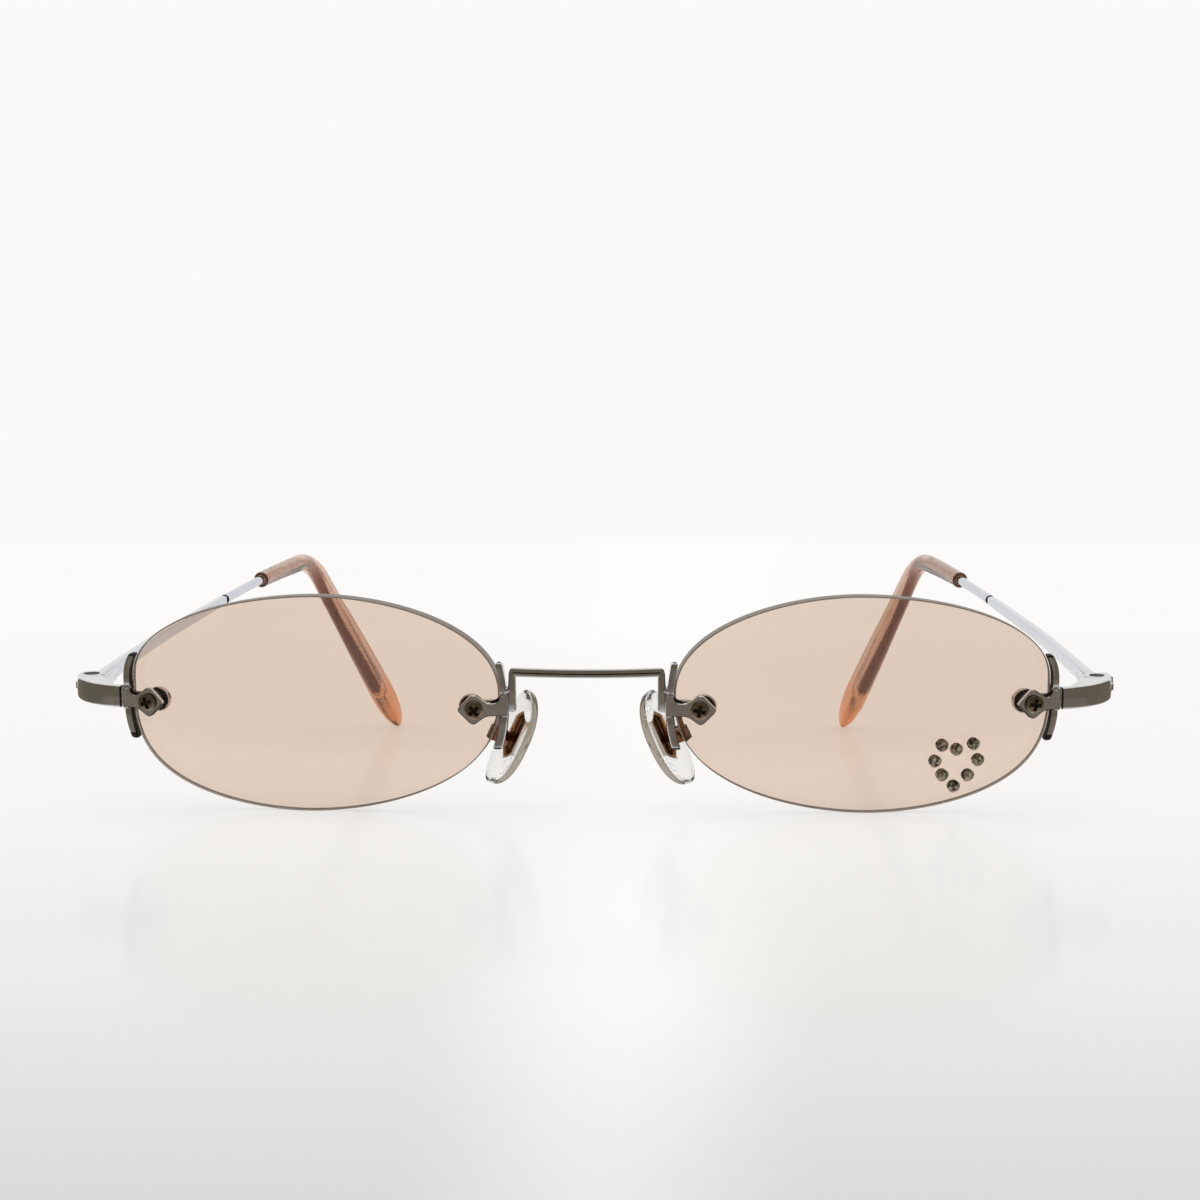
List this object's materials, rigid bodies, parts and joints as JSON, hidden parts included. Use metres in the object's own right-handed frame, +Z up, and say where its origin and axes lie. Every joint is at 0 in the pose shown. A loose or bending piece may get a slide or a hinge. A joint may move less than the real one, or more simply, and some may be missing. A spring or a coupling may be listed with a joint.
{
  "type": "rimless sunglasses",
  "caption": "Rimless sunglasses with oval tinted lenses, folding temples bent behind the ears, rocking nose pads and a heart of small stones on the left lens.",
  "frame": {"origin": "centre of the bounding box's bottom, on the surface that the lenses and temple tips stand on", "axes": "+X to the wearer's left, +Y backwards along the temples, +Z up"},
  "size_m": [0.1322, 0.146, 0.0313],
  "materials": {
    "tinted_lens": "polished, light brown tint",
    "gunmetal": "dark gunmetal plating, polished",
    "brassy_screw": "darkened, semi-gloss",
    "clear_plastic": "clear",
    "clear_pad": "soft, clear and smooth",
    "coppery_core": "coppery, semi-gloss",
    "brown_tip": "translucent brown, glossy",
    "smoked_stone": "faceted, smoky"
  },
  "bodies": {
    "front": {"bridge": "gunmetal", "heart_stone_1": "smoked_stone", "heart_stone_2": "smoked_stone", "heart_stone_3": "smoked_stone", "heart_stone_4": "smoked_stone", "heart_stone_5": "smoked_stone", "heart_stone_6": "smoked_stone", "heart_stone_7": "smoked_stone", "heart_stone_8": "smoked_stone", "left_endpiece": "gunmetal", "left_hinge_screw": "gunmetal", "left_lens": "tinted_lens", "left_nasal_bushing": "clear_plastic", "left_nasal_lens_screw": "brassy_screw", "left_nasal_mount": "gunmetal", "left_pad_arm": "gunmetal", "left_pad_screw": "brassy_screw", "left_temporal_bushing": "clear_plastic", "left_temporal_lens_screw": "brassy_screw", "left_temporal_mount": "gunmetal", "right_endpiece": "gunmetal", "right_hinge_screw": "gunmetal", "right_lens": "tinted_lens", "right_nasal_bushing": "clear_plastic", "right_nasal_lens_screw": "brassy_screw", "right_nasal_mount": "gunmetal", "right_pad_arm": "gunmetal", "right_pad_screw": "brassy_screw", "right_temporal_bushing": "clear_plastic", "right_temporal_lens_screw": "brassy_screw", "right_temporal_mount": "gunmetal"},
    "left_temple": {"left_temple": "gunmetal", "left_temple_hinge_leaf": "gunmetal", "left_temple_tip": "brown_tip"},
    "right_temple": {"right_temple": "gunmetal", "right_temple_hinge_leaf": "gunmetal", "right_temple_tip": "brown_tip"},
    "left_pad": {"left_nose_pad": "clear_pad", "left_pad_core": "coppery_core"},
    "right_pad": {"right_nose_pad": "clear_pad", "right_pad_core": "coppery_core"}
  },
  "joints": [
    {"name": "left_temple_fold", "type": "hinge", "parent": "front", "child": "left_temple", "pos_m": [0.06408, -0.0586, 0.01522], "axis": [0, -0.1398, 0.9902], "range_deg": [0, 82]},
    {"name": "right_temple_fold", "type": "hinge", "parent": "front", "child": "right_temple", "pos_m": [-0.06408, -0.0586, 0.01522], "axis": [0, 0.1398, -0.9902], "range_deg": [0, 76]},
    {"name": "left_pad_rock", "type": "hinge", "parent": "front", "child": "left_pad", "pos_m": [0.0113, -0.06413, 0.00939], "axis": [0.4232, 0.8496, 0.3148], "range_deg": [-8, 8]},
    {"name": "right_pad_rock", "type": "hinge", "parent": "front", "child": "right_pad", "pos_m": [-0.0113, -0.06413, 0.00939], "axis": [0.4232, -0.8496, -0.3148], "range_deg": [-8, 8]}
  ]
}
